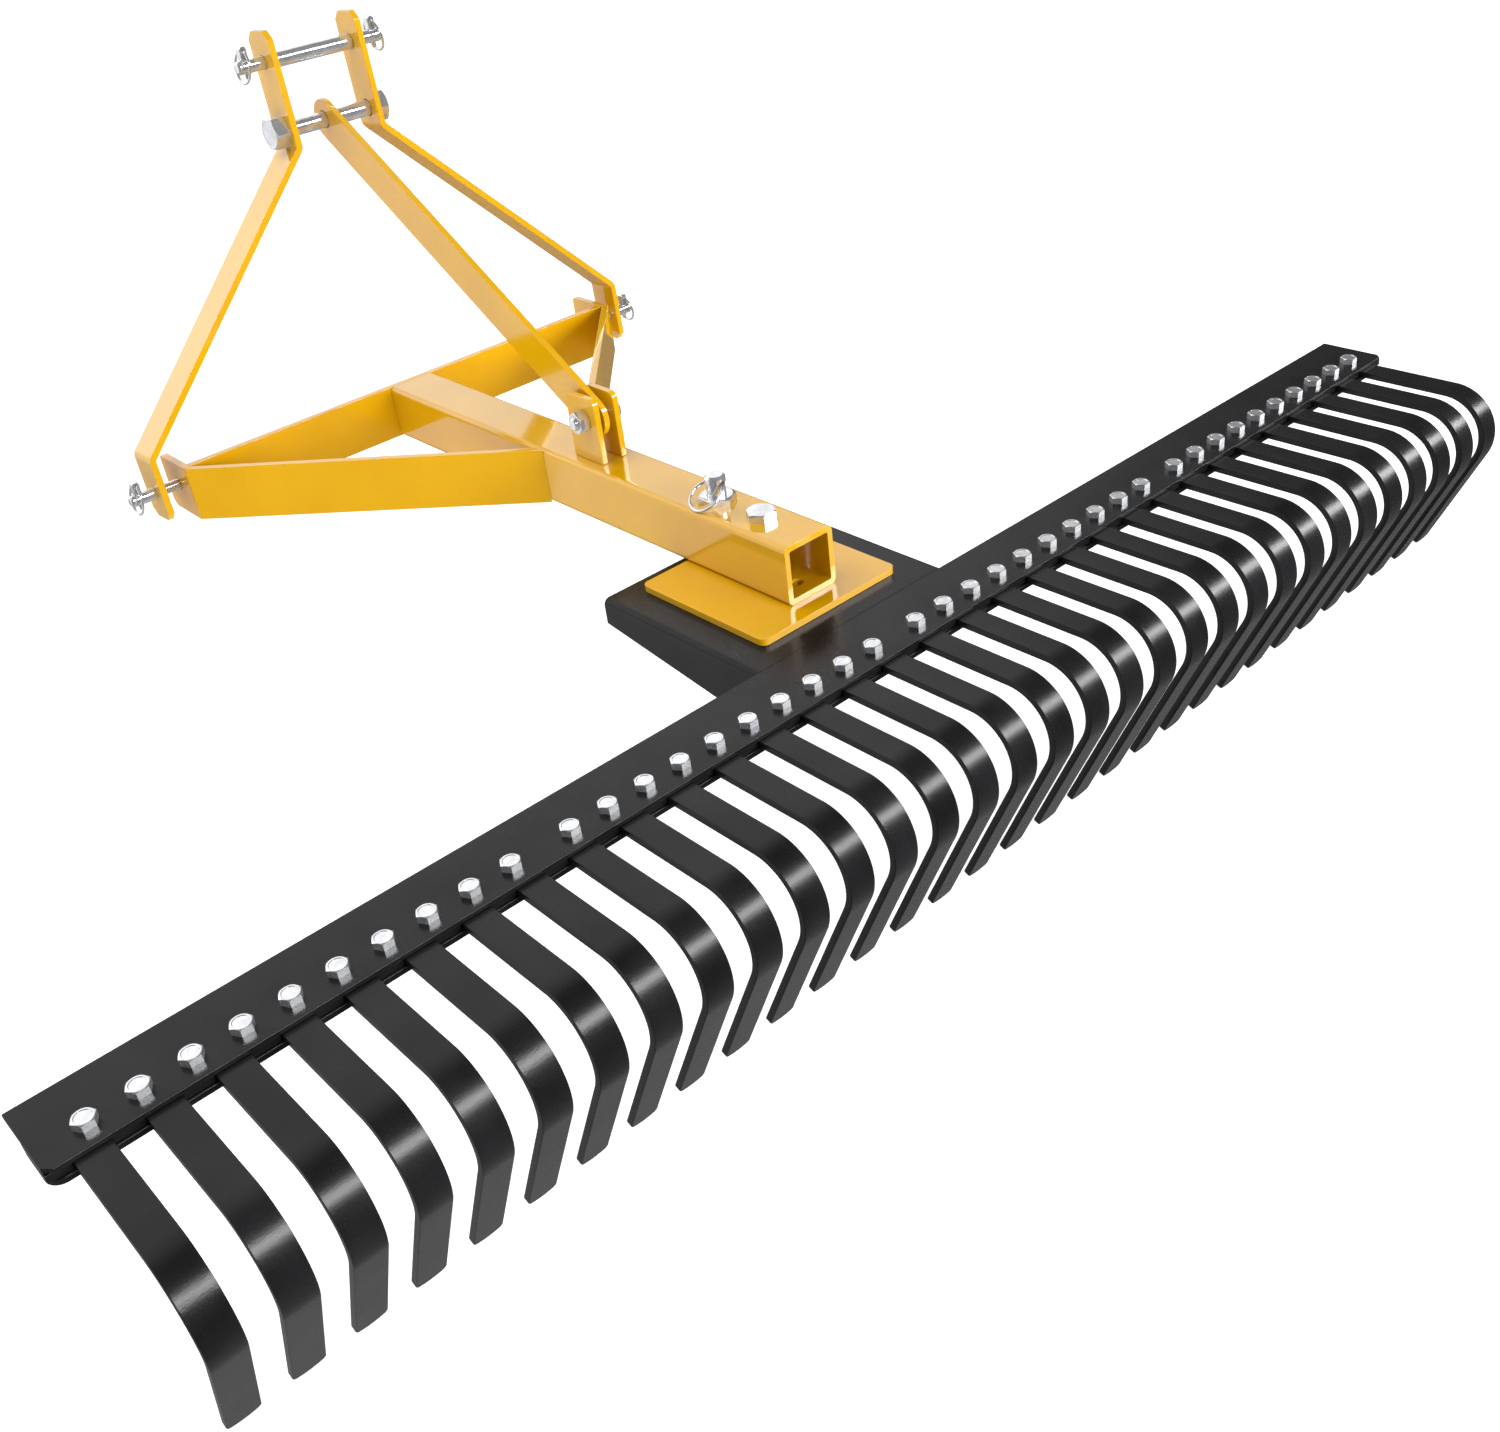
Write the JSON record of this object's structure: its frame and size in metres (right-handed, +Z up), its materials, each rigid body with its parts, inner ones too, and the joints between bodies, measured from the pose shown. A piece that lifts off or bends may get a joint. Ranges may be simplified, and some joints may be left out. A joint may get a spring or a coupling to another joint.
{
  "type": "landscape rake",
  "caption": "Three-point landscape rake: curved flat tines clamped under a wide beam that swivels on a square-tube hitch frame with a bent-strap mast.",
  "frame": {"origin": "middle of the footprint across and along the rake, on the ground below the tips of the tines", "axes": "+X to the rake's right along the beam, +Y forward to the tractor, +Z up"},
  "size_m": [1.829, 1.1829, 0.763],
  "materials": {
    "yellow_powder_coat": "glossy yellow-orange powder coat",
    "black_powder_coat": "satin black powder coat",
    "zinc": "bright zinc plate"
  },
  "bodies": {
    "hitch_frame": {"main_tube": "yellow_powder_coat", "pivot_plate": "yellow_powder_coat", "cross_bar": "yellow_powder_coat", "lock_collar": "zinc", "centre_brace": "yellow_powder_coat", "brace_bolt": "zinc", "brace_nut": "zinc", "mast_bolt": "zinc", "mast_nut": "zinc", "pivot_bolt": "zinc", "pivot_nut": "zinc", "top_link_pin": "zinc", "top_link_sleeve": "zinc", "left_diagonal": "yellow_powder_coat", "left_end_plate": "yellow_powder_coat", "left_clevis_plate": "yellow_powder_coat", "left_strap": "yellow_powder_coat", "left_hitch_pin": "zinc", "left_hitch_nut": "zinc", "right_diagonal": "yellow_powder_coat", "right_end_plate": "yellow_powder_coat", "right_clevis_plate": "yellow_powder_coat", "right_strap": "yellow_powder_coat", "right_hitch_pin": "zinc", "right_hitch_nut": "zinc"},
    "rake_head": {"beam_top_plate": "black_powder_coat", "comb_bar": "black_powder_coat", "lower_bar": "black_powder_coat", "pivot_channel": "black_powder_coat", "tine_bolts": "zinc", "tine_nuts": "zinc", "tines_1": "black_powder_coat", "tines_2": "black_powder_coat", "tines_3": "black_powder_coat", "tines_4": "black_powder_coat"},
    "lock_pin": {"lock_pin": "zinc"},
    "lock_ring": {"lock_ring": "zinc"},
    "left_hitch_linch_pin": {"left_hitch_linch_pin": "zinc"},
    "left_hitch_linch_ring": {"left_hitch_linch_ring": "zinc"},
    "left_top_linch_pin": {"left_top_linch_pin": "zinc"},
    "left_top_linch_ring": {"left_top_linch_ring": "zinc"},
    "right_hitch_linch_pin": {"right_hitch_linch_pin": "zinc"},
    "right_hitch_linch_ring": {"right_hitch_linch_ring": "zinc"},
    "right_top_linch_pin": {"right_top_linch_pin": "zinc"},
    "right_top_linch_ring": {"right_top_linch_ring": "zinc"}
  },
  "joints": [
    {"name": "head_swivel", "type": "hinge", "parent": "hitch_frame", "child": "rake_head", "pos_m": [0, -0.20474, 0.23], "axis": [0, 0, 1], "range_deg": [-30, 30]},
    {"name": "lock_pin_slide", "type": "slide", "parent": "hitch_frame", "child": "lock_pin", "axis": [0, 0, 1], "range_m": [-0.0095, 0.012]},
    {"name": "lock_ring_swing", "type": "hinge", "parent": "lock_pin", "child": "lock_ring", "pos_m": [0, -0.13274, 0.3285], "axis": [0, 1, 0], "range_deg": [-19.5, 15.5]},
    {"name": "left_hitch_linch_pin_draw", "type": "slide", "parent": "hitch_frame", "child": "left_hitch_linch_pin", "axis": [0, 0, 1], "range_m": [0, 0.06]},
    {"name": "left_hitch_linch_ring_swing", "type": "hinge", "parent": "left_hitch_linch_pin", "child": "left_hitch_linch_ring", "pos_m": [-0.396, 0.53826, 0.2939], "axis": [0, 1, 0], "range_deg": [0, 150]},
    {"name": "left_top_linch_pin_draw", "type": "slide", "parent": "hitch_frame", "child": "left_top_linch_pin", "axis": [0, 0, 1], "range_m": [0, 0.06]},
    {"name": "left_top_linch_ring_swing", "type": "hinge", "parent": "left_top_linch_pin", "child": "left_top_linch_ring", "pos_m": [-0.09, 0.5663, 0.74501], "axis": [0, 1, 0], "range_deg": [0, 150]},
    {"name": "right_hitch_linch_pin_draw", "type": "slide", "parent": "hitch_frame", "child": "right_hitch_linch_pin", "axis": [0, 0, 1], "range_m": [0, 0.06]},
    {"name": "right_hitch_linch_ring_swing", "type": "hinge", "parent": "right_hitch_linch_pin", "child": "right_hitch_linch_ring", "pos_m": [0.396, 0.53826, 0.2939], "axis": [0, -1, 0], "range_deg": [0, 150]},
    {"name": "right_top_linch_pin_draw", "type": "slide", "parent": "hitch_frame", "child": "right_top_linch_pin", "axis": [0, 0, 1], "range_m": [0, 0.06]},
    {"name": "right_top_linch_ring_swing", "type": "hinge", "parent": "right_top_linch_pin", "child": "right_top_linch_ring", "pos_m": [0.09, 0.5663, 0.74501], "axis": [0, -1, 0], "range_deg": [0, 150]}
  ],
  "couplings": [
    {"joint": "lock_ring_swing", "follows": "lock_pin_slide", "rad_per_m": -27.925},
    {"joint": "left_hitch_linch_ring_swing", "follows": "left_hitch_linch_pin_draw", "rad_per_m": 43.633},
    {"joint": "left_top_linch_ring_swing", "follows": "left_top_linch_pin_draw", "rad_per_m": 43.633},
    {"joint": "right_hitch_linch_ring_swing", "follows": "right_hitch_linch_pin_draw", "rad_per_m": 43.633},
    {"joint": "right_top_linch_ring_swing", "follows": "right_top_linch_pin_draw", "rad_per_m": 43.633}
  ]
}
